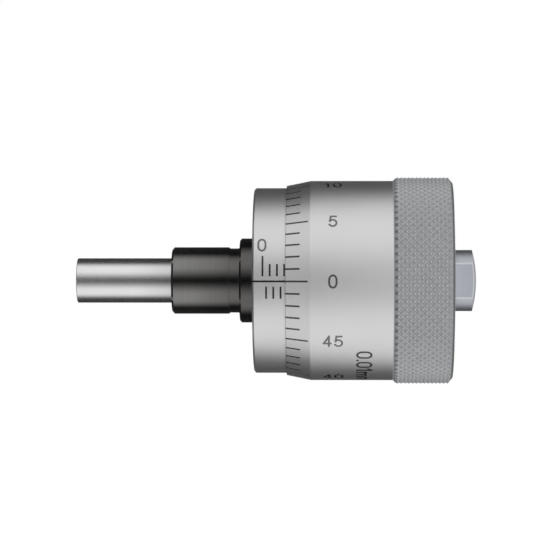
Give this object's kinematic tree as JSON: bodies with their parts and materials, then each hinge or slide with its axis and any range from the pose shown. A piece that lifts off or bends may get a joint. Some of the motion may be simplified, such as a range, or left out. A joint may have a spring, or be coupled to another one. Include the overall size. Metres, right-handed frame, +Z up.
{
  "type": "micrometer head",
  "caption": "Micrometer head with a plain black clamping stem, a graduated satin sleeve and a knurled thimble that screws a round spindle in and out.",
  "frame": {"origin": "on the screw's axis, in the plane of the flange's front face, which seats on the fixture", "axes": "X along the screw's axis with the spindle pointing to -X and the thimble to +X; -Y is the side that the index line faces; +Z is up as in the picture"},
  "size_m": [0.0567, 0.0294, 0.0294],
  "materials": {
    "black_oxide_steel": "black oxide, semi-gloss",
    "satin_chrome": "satin chrome plate",
    "plain_steel": "turned steel",
    "ground_steel": "ground and lapped steel"
  },
  "bodies": {
    "fixed": {"stem": "black_oxide_steel", "sleeve": "satin_chrome", "adjusting_nut": "plain_steel"},
    "carriage": {"clamp_washer": "plain_steel"},
    "screw": {"spindle": "ground_steel", "thimble": "satin_chrome", "end_nut": "plain_steel"}
  },
  "joints": [
    {"name": "spindle_feed", "type": "slide", "parent": "fixed", "child": "carriage", "axis": [1, 0, 0], "range_m": [-0.003, 0.007]},
    {"name": "thimble_turn", "type": "hinge", "parent": "carriage", "child": "screw", "pos_m": [0, 0, 0], "axis": [1, 0, 0], "range_deg": [-2160, 5040]}
  ],
  "couplings": [
    {"joint": "spindle_feed", "follows": "thimble_turn", "m_per_rad": 0.000079577}
  ]
}
